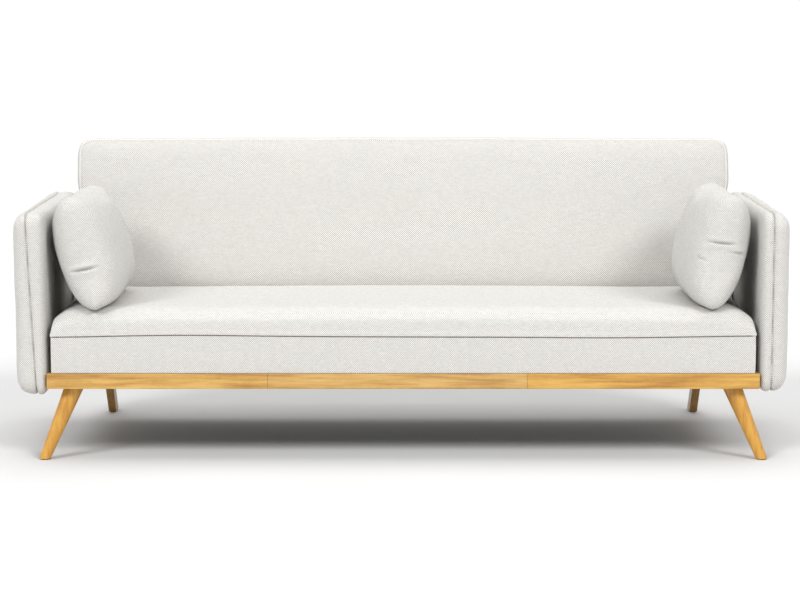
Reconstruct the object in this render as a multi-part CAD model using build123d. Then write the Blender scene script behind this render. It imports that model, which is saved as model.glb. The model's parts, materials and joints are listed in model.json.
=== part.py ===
from build123d import *
import math
import os

# Three-seat click-clack sofa bed with a wooden front rail, splayed legs, slab arms and two loose cushions.
# Millimetres. +Z is up and the front faces -Y. The origin is on the floor, under the centre of the sofa.
# "left" is the -X side, as seen from the front.

# ---------------------------------------------------------------- driving dimensions

# Base frame
RAIL_HALF_LENGTH = 924.5
RAIL_FRONT_Y = -400.0
RAIL_THICKNESS = 22.0
BASE_BOTTOM_Z = 188.0
BASE_TOP_Z = 228.0
BASE_HALF_WIDTH = 910.0
SIDE_RAIL_WIDTH = 60.0
CORNER_BLOCK_WIDTH = 110.0
CORNER_BLOCK_DEPTH = 90.0
REAR_RAIL_FRONT_Y = 240.0
REAR_RAIL_DEPTH = 40.0

# Legs
GLIDE_THICKNESS = 2.5
FRONT_LEG_TOP = (859.0, -348.0)
FRONT_LEG_TOE = (935.6, -383.0)
FRONT_LEG_TOP_RADIUS = 24.2
FRONT_LEG_TOE_RADIUS = 14.0
REAR_LEG_INNER_X = 828.0
REAR_LEG_THICKNESS = 22.0
REAR_LEG_RAKE = 41.0
REAR_LEG_TOE_DEPTH = 60.0
REAR_LEG_REAR_Y = 400.0

# Seat
SEAT_FRONT_Y = -397.0
SEAT_REAR_Y = 153.0
SEAT_SEAM_Z = 327.0
SEAT_TOP_Z = 390.0
SEAT_BORDER_HALF_WIDTH = 913.0
SEAT_PAD_HALF_WIDTH = 914.5
SEAT_PAD_LIP = 2.0
BORDER_THICKNESS = 3.0
FRONT_BORDER_THICKNESS = 5.0
BOARD_THICKNESS = 20.0
BOARD_TOP_Z = 322.0
CROSS_RAIL_X = 300.0
COVER_THICKNESS = 4.0

# Seat springs
SPRING_COUNT = 11
SPRING_WIRE_RADIUS = 1.75
SPRING_HALF_WIDTH = 22.0
SPRING_PITCH = 25.0
SPRING_BEND_RADIUS = 12.0

# Backrest, in its own plane: x across, y up along the back, z towards the sitter, from the pivot
PIVOT_Y = 178.0
PIVOT_Z = 362.0
BACK_LEAN = 15.6
BACK_HALF_WIDTH = 914.5
BACK_LENGTH = 442.5
BACK_FRONT = 28.0
BACK_REAR = -97.0
BACK_SEAM = -50.0
BACK_FRAME_FRONT = -39.0
BACK_FRAME_REAR = -73.0
BACK_BOARD_WIDTH = 40.0
WEBBING_COUNT = 12
WEBBING_WIDTH = 60.0
WEBBING_THICKNESS = 2.0

# Arms
ARM_INNER_X = 925.5
ARM_THICKNESS = 79.5
ARM_FRONT_Y = -398.0
ARM_REAR_Y = 306.0
ARM_BOTTOM_Z = 180.0
ARM_TOP_Z = 645.0
ARM_SEAM_FROM_INNER = 42.0
ARM_CORE_INSET = 20.0
ARM_PANEL_THICKNESS = 3.0
ARM_BOARD_WIDTH = 40.0
ARM_MID_RAIL_Z = 270.0

# Recline hinges, in the gap between the seat and the arms
PLATE_THICKNESS = 3.0
SEAT_PLATE_X = 915.5
BACK_PLATE_X = 919.0
PIVOT_PIN_RADIUS = 5.0
PIN_CLEARANCE = 0.05
RATCHET_RADIUS = 30.0
NOTCH_DEPTH = 5.0
RECLINE_STEPS = (0.0, 37.2, 74.4)
PAWL_PIVOT = (128.0, 342.0)
PAWL_PIN_RADIUS = 3.0
PAWL_TIP_GAP = 0.7
SEAT_PLATE_BOLTS = ((120.0, 290.0), (60.0, 290.0), (100.0, 254.0))
BACK_PLATE_BOLTS = ((90.0, -56.0), (170.0, -56.0))
PLATE_BOLT_RADIUS = 3.0

# Arm bolts, as (y, z) places
BOLT_RADIUS = 4.0
BASE_ARM_BOLTS = ((-250.0, 208.0), (80.0, 208.0))
SEAT_ARM_BOLTS = ((-300.0, 290.0), (-60.0, 290.0))
ARM_BOLT_END_X = 968.0
REAR_LEG_BOLTS = ((176.0, 208.0), (206.0, 208.0))

# Loose cushions
CUSHION_BOTTOM = (794.0, 391.5)
CUSHION_TOP = (830.0, 700.0)
CUSHION_FRONT_Y = -355.0
CUSHION_LENGTH = 440.0
CUSHION_INNER_BULGE = 86.0
CUSHION_OUTER_BULGE = 94.0
CUSHION_CLEARANCE = 5.0

# ---------------------------------------------------------------- helpers

os.makedirs("parts", exist_ok=True)


def save(name, *solids):
    """Write one sub-part, of one solid or of a group of separate solids."""
    shape = solids[0] if len(solids) == 1 else Compound(children=list(solids))
    export_step(shape, f"parts/{name}.step")


def block(x_range, y_range, z_range):
    """A rectangular solid between three pairs of limits."""
    sizes = [high - low for low, high in (x_range, y_range, z_range)]
    centre = [(high + low) / 2 for low, high in (x_range, y_range, z_range)]
    return Pos(*centre) * Box(*sizes)


def mirrored(shape):
    """The same shape on the other side of the sofa."""
    return mirror(shape, about=Plane.YZ)


def rod(start_x, end_x, place, radius):
    """A round bar along X through a (y, z) place."""
    centre = ((start_x + end_x) / 2, place[0], place[1])
    return Pos(*centre) * Rot(0, 90, 0) * Cylinder(radius, end_x - start_x)


def without(shape, cutters):
    """The shape with every cutter taken out of it."""
    for cutter in cutters:
        shape = shape - cutter
    return shape


def rounded_rectangle(width, height, radii):
    """A rectangle with its own radius at each corner.

    radii holds the corners (-x -y), (+x -y), (+x +y) and (-x +y).
    """
    sketch = Rectangle(width, height)
    for radius, side in zip(radii, ((-1, -1), (1, -1), (1, 1), (-1, 1))):
        corner = (side[0] * width / 2, side[1] * height / 2)
        nearest = sketch.vertices().sort_by_distance(corner)[0]
        sketch = fillet(nearest, radius)
    return sketch


def soft_slab(width, height, depth, radii, near_radius, far_radius):
    """An upholstered slab: a rounded rectangle extruded along +Z with rounded rims."""
    slab = extrude(rounded_rectangle(width, height, radii), depth)
    if near_radius:
        slab = fillet(slab.faces().sort_by(Axis.Z)[0].edges(), near_radius)
    if far_radius:
        slab = fillet(slab.faces().sort_by(Axis.Z)[-1].edges(), far_radius)
    return slab


def plate(start_x, discs):
    """A flat plate along X, whose outline is stretched round (y, z, radius) discs."""
    edges = [(Pos(y, z) * Circle(radius)).edge() for y, z, radius in discs]
    outline = make_hull(edges)
    plane = Plane(origin=(start_x, 0, 0), x_dir=(0, 1, 0), z_dir=(1, 0, 0))
    return plane * extrude(outline, PLATE_THICKNESS)


# ---------------------------------------------------------------- base frame and legs

SIDE_RAIL_INNER_X = BASE_HALF_WIDTH - SIDE_RAIL_WIDTH
RAIL_REAR_Y = RAIL_FRONT_Y + RAIL_THICKNESS
CORNER_BLOCK_REAR_Y = RAIL_REAR_Y + CORNER_BLOCK_DEPTH
BASE_HEIGHT = (BASE_BOTTOM_Z, BASE_TOP_Z)
BOLT_HEAD_RADIUS = 9.0
BOLT_HEAD_HEIGHT = 4.0


def hex_nut(start_x, place, height):
    """A hexagonal nut along X with a hole the size of the bolts."""
    body = extrude(RegularPolygon(8.0, 6), height) - Cylinder(BOLT_RADIUS, 4 * height)
    plane = Plane(origin=(start_x, place[0], place[1]), x_dir=(0, 1, 0), z_dir=(1, 0, 0))
    return plane * body


def rear_leg_bolt(place):
    """A round-head bolt through the side rail and the rear leg."""
    tip_x = REAR_LEG_INNER_X - 8.0
    shank = rod(tip_x, BASE_HALF_WIDTH, place, BOLT_RADIUS)
    return shank + rod(BASE_HALF_WIDTH, BASE_HALF_WIDTH + BOLT_HEAD_HEIGHT, place, BOLT_HEAD_RADIUS)


def arm_bolt(head_x, place):
    """A bolt from inside the frame, through a spacer, into the arm."""
    shank = rod(head_x, ARM_BOLT_END_X, place, BOLT_RADIUS)
    return shank + rod(head_x - BOLT_HEAD_HEIGHT, head_x, place, BOLT_HEAD_RADIUS)


def front_leg_frame():
    """Plane at the toe whose +Z runs up the front leg's axis."""
    rise = BASE_BOTTOM_Z
    direction = (FRONT_LEG_TOP[0] - FRONT_LEG_TOE[0], FRONT_LEG_TOP[1] - FRONT_LEG_TOE[1], rise)
    return Plane(origin=(*FRONT_LEG_TOE, 0), z_dir=direction), math.hypot(*direction)


def front_leg():
    """A round tapered leg, splayed outwards and forwards, cut level at both ends."""
    plane, length = front_leg_frame()
    spare = 40.0
    taper = (FRONT_LEG_TOP_RADIUS - FRONT_LEG_TOE_RADIUS) / length
    cone = Cone(
        FRONT_LEG_TOE_RADIUS - taper * spare,
        FRONT_LEG_TOP_RADIUS + taper * spare,
        length + 2 * spare,
        align=(Align.CENTER, Align.CENTER, Align.MIN),
    )
    leg = plane * (Pos(0, 0, -spare) * cone)
    level_cut = block((700, 1100), (-500, -200), (GLIDE_THICKNESS, BASE_BOTTOM_Z))
    return leg & level_cut


def front_leg_bolt():
    """The hanger bolt on the leg's axis, half in the leg and half in the corner block."""
    plane, length = front_leg_frame()
    in_leg = 45.0
    in_block = 34.0
    centre = Pos(0, 0, length + (in_block - in_leg) / 2)
    return plane * (centre * Cylinder(BOLT_RADIUS, in_leg + in_block))


def rear_leg():
    """A flat board raked backwards, bolted to the inside of the side rail."""
    top_z = BASE_TOP_Z - 2.0
    shift = (top_z - GLIDE_THICKNESS) * math.tan(math.radians(REAR_LEG_RAKE))
    toe_front = REAR_LEG_REAR_Y - REAR_LEG_TOE_DEPTH
    outline = Polyline(
        (toe_front, GLIDE_THICKNESS),
        (REAR_LEG_REAR_Y, GLIDE_THICKNESS),
        (REAR_LEG_REAR_Y - shift, top_z),
        (toe_front - shift, top_z),
        close=True,
    )
    plane = Plane(origin=(REAR_LEG_INNER_X, 0, 0), x_dir=(0, 1, 0), z_dir=(1, 0, 0))
    leg = plane * extrude(make_face(outline), REAR_LEG_THICKNESS)
    return fillet(leg.edges().filter_by(Axis.X, reverse=True), 1.5)


def build_base():
    save("front_rail", fillet(
        block((-RAIL_HALF_LENGTH, RAIL_HALF_LENGTH), (RAIL_FRONT_Y, RAIL_REAR_Y), BASE_HEIGHT).edges(), 1.5))

    leg_bolts = [rear_leg_bolt(place) for place in REAR_LEG_BOLTS]
    base_bolts = [arm_bolt(SIDE_RAIL_INNER_X, place) for place in BASE_ARM_BOLTS]
    side_rail = block((SIDE_RAIL_INNER_X, BASE_HALF_WIDTH), (CORNER_BLOCK_REAR_Y, REAR_RAIL_FRONT_Y), BASE_HEIGHT)
    side_rail = without(side_rail, leg_bolts + base_bolts)
    save("right_side_rail", side_rail)
    save("left_side_rail", mirrored(side_rail))

    rear_rail_y = (REAR_RAIL_FRONT_Y, REAR_RAIL_FRONT_Y + REAR_RAIL_DEPTH)
    save("rear_rail", block((-BASE_HALF_WIDTH, BASE_HALF_WIDTH), rear_rail_y, BASE_HEIGHT))

    hanger_bolt = front_leg_bolt()
    corner_x = (BASE_HALF_WIDTH - CORNER_BLOCK_WIDTH, BASE_HALF_WIDTH)
    corner_block = block(corner_x, (RAIL_REAR_Y, CORNER_BLOCK_REAR_Y), BASE_HEIGHT) - hanger_bolt
    save("corner_blocks", corner_block, mirrored(corner_block))

    leg = front_leg() - hanger_bolt
    save("right_front_leg", leg)
    save("left_front_leg", mirrored(leg))
    save("front_leg_bolts", hanger_bolt, mirrored(hanger_bolt))

    board = without(rear_leg(), leg_bolts)
    save("right_rear_leg", board)
    save("left_rear_leg", mirrored(board))
    nuts = [hex_nut(REAR_LEG_INNER_X - 6.0, place, 6.0) for place in REAR_LEG_BOLTS]
    save("rear_leg_bolts", *leg_bolts, *[mirrored(bolt) for bolt in leg_bolts])
    save("rear_leg_nuts", *nuts, *[mirrored(nut) for nut in nuts])

    front_glide = Pos(*FRONT_LEG_TOE, GLIDE_THICKNESS / 2) * Cylinder(11.0, GLIDE_THICKNESS)
    rear_glide_x = (REAR_LEG_INNER_X + 3, REAR_LEG_INNER_X + REAR_LEG_THICKNESS - 3)
    rear_glide_y = (REAR_LEG_REAR_Y - REAR_LEG_TOE_DEPTH + 4, REAR_LEG_REAR_Y - 4)
    rear_glide = block(rear_glide_x, rear_glide_y, (0, GLIDE_THICKNESS))
    save("leg_glides", front_glide, mirrored(front_glide), rear_glide, mirrored(rear_glide))

    cover_x = REAR_LEG_INNER_X - 3.0
    save("dust_cover", block(
        (-cover_x, cover_x), (RAIL_REAR_Y + 2, REAR_RAIL_FRONT_Y - 2), (BASE_BOTTOM_Z - 1, BASE_BOTTOM_Z)))


# ---------------------------------------------------------------- seat

BOX_FRONT_Y = SEAT_FRONT_Y + FRONT_BORDER_THICKNESS
BOX_REAR_Y = SEAT_REAR_Y - BORDER_THICKNESS
END_BOARD_INNER_X = BASE_HALF_WIDTH - BOARD_THICKNESS
SPRING_Z = BOARD_TOP_Z + 2.25
CLIP_LENGTH = 16.0


def seat_form(inset, bottom_z):
    """The seat pad's outer form, shrunk by inset on every side but its open bottom."""
    front_y = SEAT_FRONT_Y - SEAT_PAD_LIP + inset
    rear_y = SEAT_REAR_Y - inset
    slab = soft_slab(
        2 * (SEAT_PAD_HALF_WIDTH - inset),
        rear_y - front_y,
        SEAT_TOP_Z - inset - bottom_z,
        [26 - inset] * 4,
        0,
        22 - inset,
    )
    return Pos(0, (front_y + rear_y) / 2, bottom_z) * slab


def sinuous_spring(x):
    """A zigzag wire spring from the front board to the rear board."""
    start_y = BOX_FRONT_Y + BOARD_THICKNESS / 2
    end_y = BOX_REAR_Y - BOARD_THICKNESS / 2
    turns = int((end_y - start_y) / SPRING_PITCH) - 1
    first_y = (start_y + end_y - turns * SPRING_PITCH) / 2
    points = [(x, start_y), (x, first_y)]
    for turn in range(turns):
        side = SPRING_HALF_WIDTH if turn % 2 else -SPRING_HALF_WIDTH
        y = first_y + turn * SPRING_PITCH
        points += [(x + side, y), (x + side, y + SPRING_PITCH)]
    points += [(x, first_y + turns * SPRING_PITCH), (x, end_y)]
    path = FilletPolyline(*points, radius=SPRING_BEND_RADIUS)
    section = Plane(origin=(x, start_y, 0), z_dir=(0, 1, 0)) * Circle(SPRING_WIRE_RADIUS)
    return Pos(0, 0, SPRING_Z) * sweep(section, path=path)


def spring_clips(x):
    """The two steel clips that hold a spring's ends on the boards."""
    clips = []
    for board_y in (BOX_FRONT_Y + BOARD_THICKNESS / 2, BOX_REAR_Y - BOARD_THICKNESS / 2):
        clip = block(
            (x - 7, x + 7),
            (board_y - CLIP_LENGTH / 2, board_y + CLIP_LENGTH / 2),
            (BOARD_TOP_Z, SPRING_Z + SPRING_WIRE_RADIUS + 0.8),
        )
        bore = Pos(x, board_y, SPRING_Z) * Rot(90, 0, 0) * Cylinder(SPRING_WIRE_RADIUS, 2 * CLIP_LENGTH)
        clips.append(clip - bore)
    return clips


def build_seat():
    seat_bolts = [arm_bolt(END_BOARD_INNER_X, place) for place in SEAT_ARM_BOLTS]
    plate_bolts = [seat_plate_bolt(place) for place in SEAT_PLATE_BOLTS]
    spacer_holes = [rod(BASE_HALF_WIDTH, ARM_INNER_X, place, 8.0) for place in SEAT_ARM_BOLTS]
    board_z = (BASE_TOP_Z, BOARD_TOP_Z)
    full_x = (-BASE_HALF_WIDTH, BASE_HALF_WIDTH)
    inside_y = (BOX_FRONT_Y + BOARD_THICKNESS, BOX_REAR_Y - BOARD_THICKNESS)
    save("seat_front_board", block(full_x, (BOX_FRONT_Y, inside_y[0]), board_z))
    save("seat_rear_board", block(full_x, (inside_y[1], BOX_REAR_Y), board_z))

    end_board = block((END_BOARD_INNER_X, BASE_HALF_WIDTH), inside_y, board_z)
    end_board = without(end_board, seat_bolts + plate_bolts)
    save("seat_end_boards", end_board, mirrored(end_board))

    cross_rails = [
        block((x - 11, x + 11), inside_y, (BASE_TOP_Z + 4, BOARD_TOP_Z - 22)) for x in (-CROSS_RAIL_X, 0, CROSS_RAIL_X)
    ]
    save("seat_cross_rails", *cross_rails)

    spacing = 2 * END_BOARD_INNER_X / (SPRING_COUNT + 0.5)
    places = [(index - (SPRING_COUNT - 1) / 2) * spacing for index in range(SPRING_COUNT)]
    save("seat_springs", *[sinuous_spring(x) for x in places])
    save("seat_spring_clips", *[clip for x in places for clip in spring_clips(x)])

    felt_z = (SEAT_SEAM_Z + 0.2, SEAT_SEAM_Z + 3)
    save("seat_felt", block((-900, 900), (BOX_FRONT_Y + 6, BOX_REAR_Y - 6), felt_z))
    save("seat_foam", seat_form(COVER_THICKNESS, felt_z[1]))
    save("seat_pad_cover", seat_form(0, SEAT_SEAM_Z) - seat_form(COVER_THICKNESS, SEAT_SEAM_Z))

    border = Pos(0, (SEAT_FRONT_Y + SEAT_REAR_Y) / 2, BASE_TOP_Z) * soft_slab(
        2 * SEAT_BORDER_HALF_WIDTH, SEAT_REAR_Y - SEAT_FRONT_Y, SEAT_SEAM_Z - BASE_TOP_Z, [8.0] * 4, 0, 0)
    border = border - block(full_x, (BOX_FRONT_Y, BOX_REAR_Y), (BASE_TOP_Z, SEAT_SEAM_Z))
    cutters = plate_bolts + spacer_holes
    save("seat_border_cover", without(border, cutters + [mirrored(cutter) for cutter in cutters]))


# ---------------------------------------------------------------- backrest

def back_plane():
    """Plane at the pivot: x across the sofa, y up along the back, z towards the sitter."""
    lean = math.radians(BACK_LEAN)
    return Plane(origin=(0, PIVOT_Y, PIVOT_Z), x_dir=(1, 0, 0), z_dir=(0, -math.cos(lean), math.sin(lean)))


def back_place(along, forward):
    """The (y, z) place of a point that is given in the back's own plane."""
    point = back_plane().from_local_coords(Vector(0, along, forward))
    return (point.Y, point.Z)


def back_form(inset):
    """The backrest's outer form, shrunk by inset all round, in the back's own plane."""
    slab = soft_slab(
        2 * (BACK_HALF_WIDTH - inset),
        BACK_LENGTH - 2 * inset,
        BACK_FRONT - BACK_REAR - 2 * inset,
        [30 - inset, 30 - inset, 38 - inset, 38 - inset],
        16 - inset,
        25 - inset,
    )
    return Pos(0, BACK_LENGTH / 2, BACK_REAR + inset) * slab


def back_layer(rear, front):
    """Everything in the back's plane between two depths."""
    return block((-1000, 1000), (-100, BACK_LENGTH + 100), (rear, front))


def back_plate_bolt(place):
    """A screw from the outside, through the plate and its spacer, into the end post."""
    inner_x = BASE_HALF_WIDTH - BACK_BOARD_WIDTH + 4
    outer_x = BACK_PLATE_X + PLATE_THICKNESS
    return rod(inner_x, outer_x, place, PLATE_BOLT_RADIUS) + rod(outer_x, outer_x + 2.2, place, 6.0)


def build_back():
    plane = back_plane()
    trim = back_form(COVER_THICKNESS + 0.5)
    depth = (BACK_FRAME_REAR, BACK_FRAME_FRONT)
    bottom_y = (COVER_THICKNESS + 1, COVER_THICKNESS + 1 + BACK_BOARD_WIDTH)
    top_y = (BACK_LENGTH - BACK_BOARD_WIDTH - COVER_THICKNESS - 1, BACK_LENGTH - COVER_THICKNESS - 1)
    post_y = (bottom_y[1], top_y[0])
    full_x = (-BASE_HALF_WIDTH, BASE_HALF_WIDTH)
    bolts = [back_plate_bolt(back_place(*place)) for place in BACK_PLATE_BOLTS]
    both_bolts = bolts + [mirrored(bolt) for bolt in bolts]

    save("back_bottom_rail", plane * (block(full_x, bottom_y, depth) & trim))
    save("back_top_rail", plane * (block(full_x, top_y, depth) & trim))
    end_post = plane * block((BASE_HALF_WIDTH - BACK_BOARD_WIDTH, BASE_HALF_WIDTH), post_y, depth)
    end_post = without(end_post, bolts)
    middle_posts = [
        plane * block((x - BACK_BOARD_WIDTH / 2, x + BACK_BOARD_WIDTH / 2), post_y, depth)
        for x in (-CROSS_RAIL_X, CROSS_RAIL_X)
    ]
    save("back_posts", end_post, mirrored(end_post), *middle_posts)

    spacing = 2 * (BASE_HALF_WIDTH - BACK_BOARD_WIDTH) / WEBBING_COUNT
    strap_z = (BACK_FRAME_FRONT, BACK_FRAME_FRONT + WEBBING_THICKNESS)
    straps = []
    for index in range(WEBBING_COUNT):
        x = (index - (WEBBING_COUNT - 1) / 2) * spacing
        straps.append(plane * block((x - WEBBING_WIDTH / 2, x + WEBBING_WIDTH / 2), (8, BACK_LENGTH - 8), strap_z))
    save("back_webbing", *straps)

    filling = back_form(COVER_THICKNESS)
    save("back_foam", plane * (filling & back_layer(strap_z[1] + 0.5, BACK_FRONT)))
    save("back_rear_wadding", plane * (filling & back_layer(BACK_REAR, BACK_FRAME_REAR - 0.5)))
    shell = plane * (back_form(0) - filling)
    shell = without(shell, both_bolts)
    save("back_front_cover", shell & (plane * back_layer(BACK_SEAM, BACK_FRONT + 10)))
    save("back_rear_cover", shell & (plane * back_layer(BACK_REAR - 10, BACK_SEAM)))


# ---------------------------------------------------------------- arms

def arm_form(inset):
    """The right arm's outer form, shrunk by inset all round."""
    slab = soft_slab(
        ARM_REAR_Y - ARM_FRONT_Y - 2 * inset,
        ARM_TOP_Z - ARM_BOTTOM_Z - 2 * inset,
        ARM_THICKNESS - 2 * inset,
        [30 - inset, 30 - inset, 36 - inset, 50 - inset],
        max(20 - inset, 0),
        max(28 - inset, 0),
    )
    centre_y = (ARM_FRONT_Y + ARM_REAR_Y) / 2
    centre_z = (ARM_BOTTOM_Z + ARM_TOP_Z) / 2
    return Plane(origin=(ARM_INNER_X + inset, centre_y, centre_z), x_dir=(0, 1, 0), z_dir=(1, 0, 0)) * slab


def arm_frame_boards(core, core_x):
    """The five boards inside an arm: three rails and two posts."""
    inside = (core_x[0] + ARM_PANEL_THICKNESS, core_x[1] - ARM_PANEL_THICKNESS)
    front_y = ARM_FRONT_Y + ARM_CORE_INSET
    rear_y = ARM_REAR_Y - ARM_CORE_INSET
    bottom_z = ARM_BOTTOM_Z + ARM_CORE_INSET
    top_z = ARM_TOP_Z - ARM_CORE_INSET
    width = ARM_BOARD_WIDTH
    boards = [
        block(inside, (front_y, rear_y), (top_z - width, top_z)),
        block(inside, (front_y, rear_y), (bottom_z, bottom_z + width)),
        block(inside, (front_y + width, rear_y - width), (ARM_MID_RAIL_Z, ARM_MID_RAIL_Z + width)),
        block(inside, (front_y, front_y + width), (bottom_z + width, top_z - width)),
        block(inside, (rear_y - width, rear_y), (bottom_z + width, top_z - width)),
    ]
    return [board & core for board in boards]


def build_arms():
    bolts = [arm_bolt(SIDE_RAIL_INNER_X, place) for place in BASE_ARM_BOLTS]
    bolts += [arm_bolt(END_BOARD_INNER_X, place) for place in SEAT_ARM_BOLTS]
    spacers = [
        rod(BASE_HALF_WIDTH, ARM_INNER_X, place, 8.0) - rod(850, 980, place, BOLT_RADIUS)
        for place in BASE_ARM_BOLTS + SEAT_ARM_BOLTS
    ]
    save("arm_bolts", *bolts, *[mirrored(bolt) for bolt in bolts])
    save("arm_spacers", *spacers, *[mirrored(spacer) for spacer in spacers])

    core = arm_form(ARM_CORE_INSET)
    core_x = (ARM_INNER_X + ARM_CORE_INSET, ARM_INNER_X + ARM_THICKNESS - ARM_CORE_INSET)
    inner_panel = core & block((core_x[0], core_x[0] + ARM_PANEL_THICKNESS), (-500, 500), (0, 800))
    outer_panel = core & block((core_x[1] - ARM_PANEL_THICKNESS, core_x[1]), (-500, 500), (0, 800))
    inner_panel = without(inner_panel, bolts)
    boards = [without(board, bolts) for board in arm_frame_boards(core, core_x)]
    padding = without(arm_form(COVER_THICKNESS) - core, bolts)
    shell = without(arm_form(0) - arm_form(COVER_THICKNESS), bolts)
    seam_x = ARM_INNER_X + ARM_SEAM_FROM_INNER
    inner_cover = shell & block((900, seam_x), (-500, 500), (0, 800))
    outer_cover = shell & block((seam_x, 1100), (-500, 500), (0, 800))

    for side, place in (("right", lambda shape: shape), ("left", mirrored)):
        save(f"{side}_arm_frame", *[place(board) for board in boards])
        save(f"{side}_arm_panels", place(inner_panel), place(outer_panel))
        save(f"{side}_arm_padding", place(padding))
        save(f"{side}_arm_inner_cover", place(inner_cover))
        save(f"{side}_arm_outer_cover", place(outer_cover))


# ---------------------------------------------------------------- recline hinges

def seat_plate_bolt(place):
    """A screw from the outside, through the seat plate and a washer, into the end board."""
    outer_x = SEAT_PLATE_X + PLATE_THICKNESS
    return rod(END_BOARD_INNER_X, outer_x, place, PLATE_BOLT_RADIUS) + rod(outer_x, outer_x + 2.2, place, 6.0)


def pawl_direction():
    """Unit (y, z) direction from the recline pivot to the pawl's pivot, and the distance."""
    dy = PAWL_PIVOT[0] - PIVOT_Y
    dz = PAWL_PIVOT[1] - PIVOT_Z
    distance = math.hypot(dy, dz)
    return dy / distance, dz / distance, distance


def ratchet_notches():
    """One wedge for each backrest position, cut in the rim of the back plate's disc."""
    dy, dz, _ = pawl_direction()
    first_angle = math.degrees(math.atan2(dz, dy))
    wedges = []
    for step in RECLINE_STEPS:
        wedge = make_face(Polyline((RATCHET_RADIUS - NOTCH_DEPTH, 0), (40, -7), (40, 7), close=True))
        plane = Plane(origin=(BACK_PLATE_X, PIVOT_Y, PIVOT_Z), x_dir=(0, 1, 0), z_dir=(1, 0, 0))
        wedges.append(plane * (Rot(0, 0, first_angle + step) * extrude(wedge, PLATE_THICKNESS)))
    return wedges


def build_hinges():
    pivot = (PIVOT_Y, PIVOT_Z)
    seat_bolts = [seat_plate_bolt(place) for place in SEAT_PLATE_BOLTS]
    back_places = [back_place(*place) for place in BACK_PLATE_BOLTS]
    back_bolts = [back_plate_bolt(place) for place in back_places]

    pin_outer_x = BACK_PLATE_X + PLATE_THICKNESS + 0.3
    pin = rod(SEAT_PLATE_X, pin_outer_x, pivot, PIVOT_PIN_RADIUS) + rod(pin_outer_x, pin_outer_x + 1.8, pivot, 9.0)
    pawl_pin = rod(SEAT_PLATE_X, pin_outer_x, PAWL_PIVOT, PAWL_PIN_RADIUS)
    pawl_pin = pawl_pin + rod(pin_outer_x, pin_outer_x + 1.8, PAWL_PIVOT, 6.0)

    seat_discs = [(*pivot, 20.0), (*PAWL_PIVOT, 12.0)] + [(*place, 13.0) for place in SEAT_PLATE_BOLTS]
    seat_plate = without(plate(SEAT_PLATE_X, seat_discs), seat_bolts + [pin, pawl_pin])

    back_discs = [(*pivot, 18.0)] + [(*place, 13.0) for place in back_places]
    back_plate = plate(BACK_PLATE_X, back_discs) + plate(BACK_PLATE_X, [(*pivot, RATCHET_RADIUS)])
    pin_hole = rod(900, 950, pivot, PIVOT_PIN_RADIUS + PIN_CLEARANCE)
    back_plate = without(back_plate, ratchet_notches() + back_bolts + [pin_hole])

    dy, dz, distance = pawl_direction()
    tip_radius = 1.5
    reach = RATCHET_RADIUS + PAWL_TIP_GAP + tip_radius
    tip = (PIVOT_Y + dy * reach, PIVOT_Z + dz * reach, tip_radius)
    pawl_hole = rod(900, 950, PAWL_PIVOT, PAWL_PIN_RADIUS + PIN_CLEARANCE)
    pawl = plate(BACK_PLATE_X, [(*PAWL_PIVOT, 8.0), tip]) - pawl_hole

    washers = [
        rod(SEAT_BORDER_HALF_WIDTH, SEAT_PLATE_X, place, 8.0) - rod(900, 930, place, PLATE_BOLT_RADIUS)
        for place in SEAT_PLATE_BOLTS
    ]
    spacers = [
        rod(BACK_HALF_WIDTH, BACK_PLATE_X, place, 8.0) - rod(900, 930, place, PLATE_BOLT_RADIUS)
        for place in back_places
    ]

    for side, place in (("right", lambda shape: shape), ("left", mirrored)):
        save(f"{side}_seat_plate", place(seat_plate))
        save(f"{side}_back_plate", place(back_plate))
        save(f"{side}_pawl", place(pawl))
    save("pivot_pins", pin, mirrored(pin))
    save("pawl_pins", pawl_pin, mirrored(pawl_pin))
    save("seat_plate_screws", *seat_bolts, *[mirrored(bolt) for bolt in seat_bolts])
    save("back_plate_screws", *back_bolts, *[mirrored(bolt) for bolt in back_bolts])
    save("seat_plate_washers", *washers, *[mirrored(washer) for washer in washers])
    save("back_plate_spacers", *spacers, *[mirrored(spacer) for spacer in spacers])


# ---------------------------------------------------------------- loose cushions

def cushion_section(height, inner_bulge, outer_bulge, plumpness):
    """A pillow's cross-section: two crowned sides that meet at a seam at the bottom and the top."""
    shape = ((0.14, 0.62), (0.5, 1.0), (0.86, 0.62))
    middle = height / 2
    inner = [(-inner_bulge * plumpness * share, height * along - middle) for along, share in shape]
    outer = [(outer_bulge * plumpness * share, height * along - middle) for along, share in shape]
    bottom = (0, -middle)
    top = (0, middle)
    return make_face([Spline(bottom, *inner, top), Spline(top, *reversed(outer), bottom)])


def cushion(inset):
    """The right cushion, standing on its long edge and leaning towards the arm."""
    rise = CUSHION_TOP[1] - CUSHION_BOTTOM[1]
    run = CUSHION_TOP[0] - CUSHION_BOTTOM[0]
    height = math.hypot(rise, run) - 2 * inset
    centre_x = (CUSHION_TOP[0] + CUSHION_BOTTOM[0]) / 2
    centre_z = (CUSHION_TOP[1] + CUSHION_BOTTOM[1]) / 2
    length = CUSHION_LENGTH - 2 * inset
    sections = []
    for along in (0.0, 0.07, 0.25, 0.5, 0.75, 0.93, 1.0):
        plumpness = 0.1 + 0.9 * (1 - abs(2 * along - 1) ** 2.6) ** 0.6
        section_height = height * (0.95 + 0.05 * abs(2 * along - 1) ** 2)
        y = CUSHION_FRONT_Y + inset + along * length
        plane = Plane(origin=(centre_x, y, centre_z), x_dir=(rise, 0, -run), z_dir=(0, -1, 0))
        face = cushion_section(
            section_height, CUSHION_INNER_BULGE - inset, CUSHION_OUTER_BULGE - inset, plumpness)
        sections.append(plane * face)
    return loft(sections)


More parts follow.
